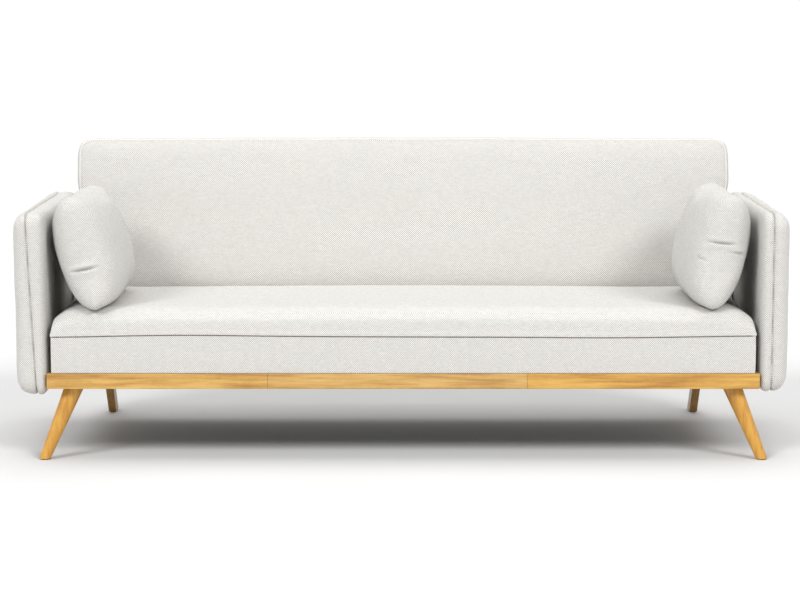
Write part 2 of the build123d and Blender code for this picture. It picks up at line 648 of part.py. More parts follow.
def build_cushions():
    outer = cushion(0)
    filling = cushion(CUSHION_CLEARANCE)
    cover = outer - filling
    for side, place in (("right", lambda shape: shape), ("left", mirrored)):
        save(f"{side}_cushion_cover", place(cover))
        save(f"{side}_cushion_filling", place(filling))


build_base()
build_seat()
build_back()
build_arms()
build_hinges()
build_cushions()
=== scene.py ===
import json
import math

import bmesh
import bpy
import numpy as np
from mathutils import Matrix, Vector, noise
from mathutils.bvhtree import BVHTree
from mathutils.kdtree import KDTree


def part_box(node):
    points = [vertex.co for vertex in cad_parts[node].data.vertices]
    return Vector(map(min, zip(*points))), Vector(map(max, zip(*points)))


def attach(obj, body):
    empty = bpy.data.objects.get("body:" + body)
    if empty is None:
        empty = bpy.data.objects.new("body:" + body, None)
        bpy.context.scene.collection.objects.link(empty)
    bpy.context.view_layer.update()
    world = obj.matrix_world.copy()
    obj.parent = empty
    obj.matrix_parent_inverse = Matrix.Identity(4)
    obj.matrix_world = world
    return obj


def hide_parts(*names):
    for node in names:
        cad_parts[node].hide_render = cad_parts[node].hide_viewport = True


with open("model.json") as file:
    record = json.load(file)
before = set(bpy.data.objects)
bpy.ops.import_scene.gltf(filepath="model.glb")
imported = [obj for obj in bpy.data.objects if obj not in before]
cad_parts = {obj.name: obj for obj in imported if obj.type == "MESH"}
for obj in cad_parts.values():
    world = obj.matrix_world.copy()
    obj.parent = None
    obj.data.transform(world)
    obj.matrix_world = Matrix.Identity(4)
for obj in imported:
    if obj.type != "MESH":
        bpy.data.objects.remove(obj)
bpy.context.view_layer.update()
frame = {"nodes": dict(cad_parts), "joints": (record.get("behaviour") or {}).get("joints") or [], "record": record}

# ---------------------------------------------------------------- sizes, in metres, from the frame

SIDES = {"left": -1.0, "right": 1.0}
RECLINE = next(joint for joint in frame["joints"] if joint["name"] == "back_recline")
PIVOT = Vector(RECLINE["pos_m"])
LEAN = math.radians(15.6)
BACK_SEAM_DEPTH = 0.009
BACK_TOP_SPREAD = 0.0100
CELL = 0.012
SEAM_CELLS = (-0.012, -0.007, -0.0042, -0.0021, 0.0, 0.0021, 0.0042, 0.007, 0.012)


# ---------------------------------------------------------------- mesh helpers

def new_piece(name, vertices, faces, material, body):
    """A mesh object that rides on a body and has one material."""
    mesh = bpy.data.meshes.new(name)
    mesh.from_pydata([tuple(v) for v in vertices], [], faces)
    mesh.update()
    piece = bpy.data.objects.new(name, mesh)
    bpy.context.scene.collection.objects.link(piece)
    piece.data.materials.append(material)
    mesh.polygons.foreach_set("use_smooth", [True] * len(mesh.polygons))
    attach(piece, body)
    return piece


def grid_lines(low, high, cell, extra=()):
    """Evenly spaced lines from low to high, with extra lines where a seam needs them."""
    count = max(2, round((high - low) / cell))
    lines = [low + (high - low) * index / count for index in range(count + 1)]
    if extra:
        gap = max(extra) - min(extra)
        middle = (max(extra) + min(extra)) / 2
        ends = (lines[0], lines[-1])
        lines = [x for x in lines if abs(x - middle) > gap / 2 + 0.3 * cell or x in ends]
        lines += [x for x in extra if low < x < high]
    return np.array(sorted(lines))


def with_edges(lines, steps=(0.0015, 0.004)):
    """The lines, with closer ones at both ends, so that subdivision keeps the edges crisp."""
    closer = [lines[0] + step for step in steps] + [lines[-1] - step for step in steps]
    return np.array(sorted(set(lines) | set(closer)))


def lattice_surface(xs, ys, zs):
    """Vertices and outward quads on the surface of a box lattice."""
    counts = (len(xs), len(ys), len(zs))
    numbers = {}
    vertices = []
    faces = []

    def vertex(key):
        if key not in numbers:
            numbers[key] = len(vertices)
            vertices.append((xs[key[0]], ys[key[1]], zs[key[2]]))
        return numbers[key]

    for axis in range(3):
        u, v = (axis + 1) % 3, (axis + 2) % 3
        for end in (0, counts[axis] - 1):
            for i in range(counts[u] - 1):
                for j in range(counts[v] - 1):
                    corners = []
                    for a, b in ((i, j), (i + 1, j), (i + 1, j + 1), (i, j + 1)):
                        key = [0, 0, 0]
                        key[axis], key[u], key[v] = end, a, b
                        corners.append(vertex(tuple(key)))
                    faces.append(corners if end else corners[::-1])
    return np.array(vertices), faces


def smoothstep(t):
    t = np.clip(t, 0.0, 1.0)
    return t * t * (3.0 - 2.0 * t)


def rounded(points, low, high, radii_low, radii_high, axis):
    """Box-surface points moved onto a box with elliptical edges.

    The radii go from radii_low at the low end of axis to radii_high at its high end.
    """
    low, high = np.array(low), np.array(high)
    share = smoothstep((points[:, axis] - low[axis]) / (high[axis] - low[axis]) * 1.6 - 0.3)[:, None]
    radii = np.array(radii_low) * (1.0 - share) + np.array(radii_high) * share
    inner = np.clip(points, low + radii, high - radii)
    direction = (points - inner) / radii
    length = np.linalg.norm(direction, axis=1, keepdims=True)
    return inner + radii * direction / np.maximum(length, 1e-9)


def coordinates(piece):
    values = np.empty(len(piece.data.vertices) * 3)
    piece.data.vertices.foreach_get("co", values)
    return values.reshape(-1, 3)


def set_coordinates(piece, values):
    piece.data.vertices.foreach_set("co", np.ascontiguousarray(values).ravel())
    piece.data.update()


def vertex_normals(piece):
    values = np.empty(len(piece.data.vertices) * 3)
    piece.data.vertex_normals.foreach_get("vector", values)
    return values.reshape(-1, 3)


def fabric_noise(points, scale, seed):
    """Smooth noise from -1 to 1 at each point, with features about scale metres across."""
    offset = Vector((seed * 7.3, seed * 3.1, seed * 5.7))
    return np.array([noise.noise(Vector(point) / scale + offset) for point in points])


def subdivide(piece, levels=1):
    modifier = piece.modifiers.new("smooth", "SUBSURF")
    modifier.levels = levels
    modifier.render_levels = levels


# ---------------------------------------------------------------- cloth simulation

def swell(piece, voxel, pressure, cap, weight=None):
    """Blow the piece up as cloth: a remeshed copy is simulated, and its movement is given to the piece."""
    copy = piece.copy()
    copy.data = piece.data.copy()
    copy.modifiers.clear()
    copy.parent = None
    copy.matrix_world = Matrix.Identity(4)
    bpy.context.scene.collection.objects.link(copy)
    remesh = copy.modifiers.new("remesh", "REMESH")
    remesh.mode = "VOXEL"
    remesh.voxel_size = voxel
    apply_modifiers(copy)
    start = coordinates(copy)

    cloth = copy.modifiers.new("cloth", "CLOTH")
    settings = cloth.settings
    settings.quality = 5
    settings.use_pressure = True
    settings.uniform_pressure_force = pressure
    settings.effector_weights.gravity = 0.0
    settings.tension_stiffness = 20
    settings.compression_stiffness = 20
    settings.bending_stiffness = 1.5
    settings.air_damping = 2.0
    cloth.point_cache.frame_start = 1
    cloth.point_cache.frame_end = 20
    for number in range(1, 21):
        bpy.context.scene.frame_set(number)
    apply_modifiers(copy)
    movement = coordinates(copy) - start
    length = np.linalg.norm(movement, axis=1, keepdims=True)
    movement *= np.minimum(1.0, cap / np.maximum(length, 1e-9))

    tree = KDTree(len(start))
    for index, point in enumerate(start):
        tree.insert(point, index)
    tree.balance()
    points = coordinates(piece)
    moved = points.copy()
    for index, point in enumerate(points):
        near = tree.find_n(point, 6)
        weights = np.array([1.0 / (item[2] + 0.002) for item in near])
        moved[index] += weights @ movement[[item[1] for item in near]] / weights.sum()
    if weight is not None:
        share = weight(points)[:, None]
        moved = points * (1.0 - share) + moved * share
    set_coordinates(piece, moved)
    bpy.data.objects.remove(copy, do_unlink=True)
    bpy.context.scene.frame_set(1)


def apply_modifiers(piece):
    """Replace the piece's mesh with what its modifiers make of it."""
    graph = bpy.context.evaluated_depsgraph_get()
    mesh = bpy.data.meshes.new_from_object(piece.evaluated_get(graph), depsgraph=graph)
    old = piece.data
    piece.modifiers.clear()
    piece.data = mesh
    bpy.data.meshes.remove(old)


# ---------------------------------------------------------------- material helpers

class Nodes:
    """A short way to build a material's node tree."""

    def __init__(self, name):
        self.material = bpy.data.materials.new(name)
        self.material.use_nodes = True
        self.tree = self.material.node_tree
        self.shader = self.tree.nodes["Principled BSDF"]

    def link(self, source, target):
        if isinstance(source, (int, float)):
            target.default_value = source
        elif isinstance(source, tuple):
            target.default_value = source
        else:
            self.tree.links.new(source, target)

    def node(self, kind):
        return self.tree.nodes.new(kind)

    def math(self, operation, a, b=0.0, c=0.0):
        node = self.node("ShaderNodeMath")
        node.operation = operation
        for value, socket in zip((a, b, c), node.inputs):
            self.link(value, socket)
        return node.outputs[0]

    def noise(self, vector, scale, detail=2.0, roughness=0.5):
        node = self.node("ShaderNodeTexNoise")
        self.link(vector, node.inputs["Vector"])
        node.inputs["Scale"].default_value = scale
        node.inputs["Detail"].default_value = detail
        node.inputs["Roughness"].default_value = roughness
        return node.outputs["Fac"]

    def stretched(self, vector, scale, rotation=(0.0, 0.0, 0.0)):
        node = self.node("ShaderNodeMapping")
        self.link(vector, node.inputs["Vector"])
        node.inputs["Scale"].default_value = scale
        node.inputs["Rotation"].default_value = rotation
        return node.outputs[0]

    def ramp(self, value, stops):
        """A colour ramp through (position, colour) stops."""
        node = self.node("ShaderNodeValToRGB")
        self.link(value, node.inputs[0])
        while len(node.color_ramp.elements) < len(stops):
            node.color_ramp.elements.new(0.5)
        for element, (position, colour) in zip(node.color_ramp.elements, stops):
            element.position = position
            element.color = (*colour, 1.0)
        return node.outputs[0]

    def mix(self, share, a, b, blend="MIX"):
        node = self.node("ShaderNodeMix")
        node.data_type = "RGBA"
        node.blend_type = blend
        self.link(share, node.inputs[0])
        self.link((*a, 1.0) if isinstance(a, tuple) else a, node.inputs[6])
        self.link((*b, 1.0) if isinstance(b, tuple) else b, node.inputs[7])
        return node.outputs[2]

    def bump(self, height, distance, strength=1.0):
        node = self.node("ShaderNodeBump")
        node.inputs["Strength"].default_value = strength
        node.inputs["Distance"].default_value = distance
        self.link(height, node.inputs["Height"])
        self.link(node.outputs[0], self.shader.inputs["Normal"])

    def place(self):
        node = self.node("ShaderNodeTexCoord")
        return node.outputs["Object"], node.outputs["Normal"]


def flat_places(n):
    """Object coordinates laid flat on whichever side the surface faces."""
    position, normal = n.place()
    split = n.node("ShaderNodeSeparateXYZ")
    n.link(position, split.inputs[0])
    facing = n.node("ShaderNodeSeparateXYZ")
    n.link(normal, facing.inputs[0])
    x, y, z = split.outputs
    nx, ny, nz = [n.math("ABSOLUTE", socket) for socket in facing.outputs]
    side = n.math("GREATER_THAN", nx, n.math("MAXIMUM", ny, nz))
    top = n.math("GREATER_THAN", nz, ny)
    across = n.math("ADD", n.math("MULTIPLY", x, n.math("SUBTRACT", 1.0, side)), n.math("MULTIPLY", y, side))
    flat = n.math("MULTIPLY", top, n.math("SUBTRACT", 1.0, side))
    along = n.math("ADD", n.math("MULTIPLY", z, n.math("SUBTRACT", 1.0, flat)), n.math("MULTIPLY", y, flat))
    return position, across, along


def woven(name, light, dark, thread, relief, hollow_shade=0.45):
    """A basket weave with slubby threads, mixed from a light and a dark tone: the dark tone is painted shade in
    the weave's hollows, with random slub tone on top; thread is the width of one cell in metres.
    """
    n = Nodes(name)
    position, across, along = flat_places(n)
    wander = n.math("MULTIPLY", n.math("SUBTRACT", n.noise(position, 9.0), 0.5), 0.004)
    u = n.math("MULTIPLY", n.math("ADD", across, wander), math.pi / thread)
    v = n.math("MULTIPLY", n.math("SUBTRACT", along, wander), math.pi / thread)
    weave = n.math("MULTIPLY", n.math("SINE", u), n.math("SINE", v))
    height = n.math("MULTIPLY_ADD", weave, 0.5, 0.5)
    slub = n.noise(position, 330.0, 3.0, 0.7)
    uneven = n.math("MULTIPLY", n.noise(n.stretched(position, (1.0, 1.0, 3.0)), 70.0, 3.0, 0.6), 0.4)
    # Painted shade: the low parts of the weave are mixed towards the dark tone, with random unevenness and slub
    # tone on top.
    depth = n.math("MULTIPLY", n.math("SUBTRACT", 1.0, height), n.math("ADD", uneven, hollow_shade))
    depth = n.math("ADD", depth, n.math("MULTIPLY", n.math("SUBTRACT", slub, 0.5), 0.3))
    n.link(n.mix(n.math("MAXIMUM", depth, 0.0), light, dark), n.shader.inputs["Base Color"])
    n.link(n.math("MULTIPLY_ADD", slub, 0.15, 0.8), n.shader.inputs["Roughness"])
    n.shader.inputs["Specular IOR Level"].default_value = 0.2
    n.shader.inputs["Sheen Weight"].default_value = 0.15
    n.shader.inputs["Sheen Roughness"].default_value = 0.5
    n.bump(n.math("MULTIPLY_ADD", slub, 0.4, height), relief)
    return n.material


def wood(name, tones, grain, rotation=(0.0, 0.0, 0.0), joints=(), roughness=0.38, gloss=0.35):
    """Straight-grained timber. grain stretches the pattern; joints are (x, tone) steps between glued staves."""
    n = Nodes(name)
    position, _ = n.place()
    stretched = n.stretched(position, grain, rotation)
    broad = n.noise(stretched, 9.0, 3.0, 0.6)
    fine = n.noise(n.stretched(position, tuple(4.0 * value for value in grain), rotation), 30.0, 4.0, 0.7)
    pores = n.noise(n.stretched(position, tuple(9.0 * value for value in grain), rotation), 40.0, 2.0, 0.8)
    value = n.math("ADD", n.math("MULTIPLY", broad, 0.7), n.math("MULTIPLY", fine, 0.3))
    colour = n.ramp(value, [(0.36, tones[0]), (0.5, tones[1]), (0.64, tones[2])])
    dark = n.ramp(pores, [(0.33, (0.72, 0.6, 0.45)), (0.42, (1.0, 1.0, 1.0))])
    colour = n.mix(0.6, colour, dark, "MULTIPLY")
    if joints:
        split = n.node("ShaderNodeSeparateXYZ")
        n.link(position, split.inputs[0])
        x, _, z = split.outputs
        teeth = n.math("MULTIPLY", n.math("PINGPONG", z, 0.0045), 0.35)
        toothed = n.math("ADD", x, teeth)
        for edge, tone in joints:
            beyond = n.math("GREATER_THAN", toothed, edge)
            colour = n.mix(n.math("MULTIPLY", beyond, 1.0), colour, n.mix(1.0, colour, tone, "MULTIPLY"))
            line = n.math("LESS_THAN", n.math("ABSOLUTE", n.math("SUBTRACT", toothed, edge)), 0.0011)
            colour = n.mix(n.math("MULTIPLY", line, 0.6), colour, (0.16, 0.07, 0.015))
    n.link(colour, n.shader.inputs["Base Color"])
    n.link(n.math("MULTIPLY_ADD", fine, 0.2, roughness - 0.1), n.shader.inputs["Roughness"])
    n.shader.inputs["Coat Weight"].default_value = gloss
    n.shader.inputs["Coat Roughness"].default_value = 0.25
    n.bump(n.math("ADD", fine, pores), 0.00025)
    return n.material


def metal(name, colour, roughness):
    """Plated steel with faint rolling marks and dull patches."""
    n = Nodes(name)
    position, _ = n.place()
    marks = n.noise(n.stretched(position, (1.0, 14.0, 1.0)), 90.0, 3.0)
    patches = n.noise(position, 60.0, 3.0)
    tint = n.ramp(patches, [(0.35, tuple(0.82 * value for value in colour)), (0.65, colour)])
    n.link(tint, n.shader.inputs["Base Color"])
    n.shader.inputs["Metallic"].default_value = 1.0
    n.link(n.math("MULTIPLY_ADD", marks, 0.25, roughness - 0.1), n.shader.inputs["Roughness"])
    n.bump(marks, 0.0001)
    return n.material


def matt(name, light, dark, scale, roughness, relief):
    """A matt surface with a fine random texture, for felt, moulded plastic or foam."""
    n = Nodes(name)
    position, _ = n.place()
    grain = n.noise(position, scale, 4.0, 0.7)
    n.link(n.ramp(grain, [(0.35, dark), (0.65, light)]), n.shader.inputs["Base Color"])
    n.shader.inputs["Roughness"].default_value = roughness
    n.bump(grain, relief)
    return n.material


# The cream fabric's dark tone is painted shade for the hollows of its weave.
FABRIC = woven("cream_weave", (0.80, 0.783, 0.752), (0.07, 0.062, 0.05), 0.0028, 0.0011)
THREAD = matt("sewing_thread", (0.62, 0.59, 0.54), (0.46, 0.43, 0.38), 900.0, 0.8, 0.0002)
# A dark brown material for a line of painted shade: the shadow line at the seat pad's seam, not thread.
SEAM_SHADE = matt("seam_shade_line", (0.20, 0.16, 0.12), (0.11, 0.085, 0.06), 900.0, 0.8, 0.0002)
WELT = matt("welt_cloth", (0.74, 0.725, 0.70), (0.60, 0.585, 0.56), 600.0, 0.85, 0.0003)
SHOW_WOOD = wood(
    "show_wood", ((0.33, 0.155, 0.025), (0.49, 0.278, 0.06), (0.62, 0.385, 0.105)), (0.6, 9.0, 9.0),
    joints=((-0.351, (0.95, 0.97, 1.12)), (0.323, (1.04, 0.96, 0.62))))
HARDBOARD = matt("hardboard", (0.32, 0.2, 0.11), (0.24, 0.14, 0.07), 300.0, 0.7, 0.0002)
TIMBER = wood("pine", ((0.52, 0.36, 0.19), (0.64, 0.47, 0.27), (0.7, 0.54, 0.33)), (0.8, 8.0, 8.0), gloss=0.0,
              roughness=0.7)
ZINC = metal("zinc_plate", (0.30, 0.30, 0.29), 0.5)
SPRING = metal("spring_steel", (0.2, 0.2, 0.21), 0.45)
FELT = matt("felt", (0.4, 0.4, 0.38), (0.26, 0.26, 0.25), 500.0, 0.95, 0.0004)
FOAM = matt("foam", (0.85, 0.8, 0.62), (0.75, 0.7, 0.52), 900.0, 0.95, 0.0003)
BLACK_CLOTH = woven("dust_cloth", (0.05, 0.05, 0.05), (0.02, 0.02, 0.02), 0.0015, 0.0002)
ELASTIC = woven("elastic_webbing", (0.12, 0.12, 0.12), (0.05, 0.05, 0.05), 0.002, 0.0004)
GLIDE = matt("glide_plastic", (0.1, 0.09, 0.08), (0.07, 0.06, 0.055), 700.0, 0.5, 0.0001)


def leg_wood(name, direction):
    """Leg timber with its grain along the leg's own direction."""
    turn = Vector(direction).rotation_difference(Vector((0, 0, 1))).to_euler()
    tones = ((0.40, 0.18, 0.018), (0.53, 0.26, 0.03), (0.61, 0.33, 0.045))
    # Painted shade: the rear legs get their tones darkened to 0.55, for the shadow under the seat.
    if "rear" in name:
        tones = tuple(tuple(0.55 * value for value in tone) for tone in tones)
    return wood(name, tones, (9.0, 9.0, 0.7), tuple(turn))


def paint_cad_nodes():
    """Give every carried-over CAD node its material."""
    by_slot = {
        "show_wood": SHOW_WOOD, "frame_timber": TIMBER, "hardboard": HARDBOARD, "zinc_steel": ZINC,
        "spring_steel": SPRING, "felt": FELT, "filling": FOAM, "dust_cover": BLACK_CLOTH, "webbing": ELASTIC,
        "glide": GLIDE, "upholstery": FABRIC, "leg_wood": None,
    }
    for entry in frame["record"]["subparts"]:
        node = entry["node"]
        material = by_slot[entry["material_slot"]]
        if material is None:
            low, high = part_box(node)
            side = -1.0 if node.startswith("left") else 1.0
            direction = (-0.4 * side, 0.18, 1.0) if "front" in node else (0.0, -0.87, 1.0)
            material = leg_wood(node + "_wood", direction)
        for slot in frame["nodes"][node].material_slots:
            slot.material = material


# ---------------------------------------------------------------- seams and stitches

def surface_tree(piece):
    """A search tree over the piece's mesh with its modifiers."""
    graph = bpy.context.evaluated_depsgraph_get()
    return BVHTree.FromObject(piece, graph)


def smooth_path(points, spacing):
    """The closed or open path resampled at an even spacing."""
    points = np.array(points)
    steps = np.linalg.norm(np.diff(points, axis=0), axis=1)
    along = np.concatenate([[0.0], np.cumsum(steps)])
    count = max(2, int(along[-1] / spacing))
    wanted = np.linspace(0.0, along[-1], count + 1)
    return np.stack([np.interp(wanted, along, points[:, axis]) for axis in range(3)], axis=1)


def stitches(name, path, tree, body, length=0.0042, gap=0.0028, radius=0.0006):
    """A row of separate stitches that lie on the surface along a path."""
    vertices = []
    faces = []
    points = smooth_path(path, length + gap)
    sides = 6
    for start, end in zip(points[:-1], points[1:]):
        middle = Vector((start + end) / 2)
        place, normal, _, _ = tree.find_nearest(middle)
        if place is None:
            continue
        forward = Vector(end - start).normalized()
        forward = (forward - normal * forward.dot(normal)).normalized()
        across = forward.cross(normal)
        first = len(vertices)
        rings = ((-0.5, 0.3, -0.4), (-0.35, 1.0, 0.3), (0.35, 1.0, 0.3), (0.5, 0.3, -0.4))
        for along, width, lift in rings:
            for step in range(sides):
                angle = 2 * math.pi * step / sides
                offset = across * math.cos(angle) * radius * width
                offset += normal * (math.sin(angle) * radius * width + lift * radius)
                vertices.append(place + forward * along * length + offset)
        for ring in range(3):
            for step in range(sides):
                a = first + ring * sides + step
                b = first + ring * sides + (step + 1) % sides
                faces.append((a, b, b + sides, a + sides))
        faces.append(tuple(first + step for step in reversed(range(sides))))
        faces.append(tuple(first + 3 * sides + step for step in range(sides)))
    return new_piece(name, vertices, faces, THREAD, body)


def welt(name, path, tree, body, radius, lift=0.0, closed=True, material=None):
    """A narrow raised seam fold that follows the surface along a path; given a dark material it is a line of
    painted shade.
    """
    points = smooth_path(path, 0.006)
    if closed:
        points = points[:-1]
    sides = 8
    count = len(points)
    places = []
    for index in range(count):
        place, normal, _, _ = tree.find_nearest(Vector(points[index]))
        places.append((place + normal * lift, normal))
    vertices = []
    faces = []
    for index, (place, normal) in enumerate(places):
        ahead = places[(index + 1) % count][0] if closed or index < count - 1 else place
        behind = places[index - 1][0] if closed or index > 0 else place
        forward = (ahead - behind).normalized()
        across = forward.cross(normal).normalized()
        width = radius * (1.0 + 0.12 * noise.noise(place * 60.0))
        for step in range(sides):
            angle = 2 * math.pi * step / sides
            vertices.append(place + across * math.cos(angle) * width + normal * math.sin(angle) * width)
    for index in range(count if closed else count - 1):
        for step in range(sides):
            a = index * sides + step
            b = index * sides + (step + 1) % sides
            c = ((index + 1) % count) * sides + (step + 1) % sides
            d = ((index + 1) % count) * sides + step
            faces.append((a, b, c, d))
    if not closed:
        faces.append(tuple(reversed(range(sides))))
        faces.append(tuple((count - 1) * sides + step for step in range(sides)))
    piece = new_piece(name, vertices, faces, material or WELT, body)
    bm = bmesh.new()
    bm.from_mesh(piece.data)
    bmesh.ops.recalc_face_normals(bm, faces=bm.faces)
    bm.to_mesh(piece.data)
    bm.free()
    return piece


def rounded_loop(low, high, radius, steps=8):
    """Points of a rounded rectangle in its own plane, closed."""
    points = []
    corners = ((high[0], high[1], 0), (low[0], high[1], 90), (low[0], low[1], 180), (high[0], low[1], 270))
    for x, y, start in corners:
        centre = (x - math.copysign(radius, x - (low[0] + high[0]) / 2),
                  y - math.copysign(radius, y - (low[1] + high[1]) / 2))
        for step in range(steps + 1):
            angle = math.radians(start + 90.0 * step / steps)
            points.append((centre[0] + radius * math.cos(angle), centre[1] + radius * math.sin(angle)))
    points.append(points[0])
    return points


# ---------------------------------------------------------------- seat

SEAM_DROP = 0.0025
SEAM_WAVE = ((-0.93, -0.003), (-0.58, 0.0042), (-0.3, 0.0), (0.0, -0.0012), (0.3, -0.002), (0.56, -0.0042),
             (0.75, -0.001), (0.93, 0.002))


def seam_height(x):
    """How far the seat's front seam wanders up or down along its length."""
    xs = [place for place, _ in SEAM_WAVE]
    heights = [height for _, height in SEAM_WAVE]
    near = [np.interp(x + shift, xs, heights) for shift in np.linspace(-0.12, 0.12, 9)]
    return np.mean(near, axis=0)


def seat_pad():
    """The seat's top pad: crowned, pulled down at its ends, with a stitched lip over the border."""
    low, high = [list(corner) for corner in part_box("seat_pad_cover")]
    low[2] -= SEAM_DROP
    seam_z = low[2]
    high[2] += 0.0015
    xs = with_edges(grid_lines(low[0], high[0], CELL), (0.003,))
    ys = with_edges(grid_lines(low[1], high[1], CELL), (0.003,))
    zs = np.array([low[2], low[2] + 0.003, low[2] + 0.006, low[2] + 0.011, low[2] + 0.02, low[2] + 0.03,
                   low[2] + 0.042, low[2] + 0.054, high[2]])
    points, faces = lattice_surface(xs, ys, zs)
    shaped = rounded(points, low, high, (0.004, 0.004, 0.0015), (0.085, 0.05, 0.044), 2)
    piece = new_piece("seat_pad", shaped, faces, FABRIC, "base")

    def upper(rest):
        return smoothstep((rest[:, 2] - seam_z - 0.008) / 0.02)

    swell(piece, 0.011, 3.0, 0.004, upper)
    shaped = coordinates(piece)
    above = shaped[:, 2] - seam_z
    lip = np.exp(-((above - 0.0035) / 0.0035) ** 2) - 0.9 * np.exp(-((above - 0.011) / 0.004) ** 2)
    middle = (np.array(low) + np.array(high)) / 2
    out = np.stack([
        np.sign(shaped[:, 0]) * (np.abs(shaped[:, 0]) > high[0] - 0.02),
        np.sign(shaped[:, 1] - middle[1]) * ((shaped[:, 1] < low[1] + 0.02) | (shaped[:, 1] > high[1] - 0.02)),
    ], axis=1)
    side = (above < 0.03) & (above > 0.0004)
    shaped[:, :2] += out * (0.0013 * lip * side)[:, None]
    crown = smoothstep(1 - np.abs(shaped[:, 0]) / high[0]) * smoothstep(above / 0.05)
    shaped[:, 2] += 0.005 * crown
    shaped[:, 2] += seam_height(shaped[:, 0]) * (1.0 - smoothstep(above / 0.05))
    wander = fabric_noise(shaped, 0.12, 1) * 0.0011 + fabric_noise(shaped, 0.035, 2) * 0.0004
    shaped += vertex_normals(piece) * (wander * smoothstep(above / 0.02))[:, None]
    set_coordinates(piece, shaped)
    subdivide(piece)
    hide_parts("seat_pad_cover", "seat_foam")

    tree = surface_tree(piece)
    loop = rounded_loop((low[0], low[1]), (high[0], high[1]), 0.01)
    path = [(x, y, seam_z + 0.0075 + float(seam_height(x))) for x, y in resampled_loop(loop)]
    stitches("seat_pad_stitches", path, tree, "base")
    # A thin dark tube round the seam under the lip: painted shade for the shadow line there.
    outline = rounded_loop((low[0], low[1] - 0.0012), (high[0], high[1] + 0.0012), 0.005)
    path = [(x, y, seam_z + 0.0004 + float(seam_height(x))) for x, y in resampled_loop(outline)]
    welt("seat_seam_shade", path, tree, "base", 0.0010, material=SEAM_SHADE)


def resampled_loop(loop, spacing=0.02):
    """A flat loop with enough points to follow a wavy seam."""
    flat = [(x, y, 0.0) for x, y in loop]
    return [(point[0], point[1]) for point in smooth_path(flat, spacing)]


def seat_border():
    """The upright band of the seat between the pad's seam and the wooden rail."""
    low, high = [list(corner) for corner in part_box("seat_border_cover")]
    high[2] += 0.0004 - SEAM_DROP
    low[1] -= 0.001
    xs = with_edges(grid_lines(low[0], high[0], CELL))
    ys = with_edges(grid_lines(low[1], high[1], 1.5 * CELL))
    zs = with_edges(grid_lines(low[2], high[2], CELL))
    points, faces = lattice_surface(xs, ys, zs)
    shaped = rounded(points, low, high, (0.004, 0.004, 0.0015), (0.003, 0.003, 0.0015), 2)
    piece = new_piece("seat_border", shaped, faces, FABRIC, "base")
    height = (shaped[:, 2] - low[2]) / (high[2] - low[2])
    belly = 4.0 * height * (1.0 - height)
    front = shaped[:, 1] < low[1] + 0.02
    shaped[:, 1] -= 0.0012 * belly * front
    shaped[:, 2] += seam_height(shaped[:, 0]) * smoothstep(height * 1.5 - 0.5) * front
    wander = fabric_noise(shaped, 0.1, 3) * 0.0008 + fabric_noise(shaped, 0.03, 4) * 0.0003
    shaped += vertex_normals(piece) * (wander * belly)[:, None]
    set_coordinates(piece, shaped)
    subdivide(piece)
    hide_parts("seat_border_cover")


# ---------------------------------------------------------------- backrest

def back_matrix():
    """From the back's own plane (x across, y up the back, z to the sitter) to the row frame."""
    up = Vector((0.0, math.sin(LEAN), math.cos(LEAN)))
    front = Vector((0.0, -math.cos(LEAN), math.sin(LEAN)))
    across = Vector((1.0, 0.0, 0.0))
    matrix = Matrix((across, up, front)).transposed().to_4x4()
    matrix.translation = PIVOT
    return matrix


def to_row(points, matrix):
    rotation = np.array(matrix.to_3x3())
    return points @ rotation.T + np.array(matrix.translation)


def back_limits():
    """The back's box in its own plane, measured from the CAD covers."""
    inverse = back_matrix().inverted()
    corners = []
    for node in ("back_front_cover", "back_rear_cover"):
        mesh = frame["nodes"][node].data
        values = np.empty(len(mesh.vertices) * 3)
        mesh.vertices.foreach_get("co", values)
        corners.append(to_row(values.reshape(-1, 3), inverse))
    points = np.concatenate(corners)
    return points.min(axis=0), points.max(axis=0)


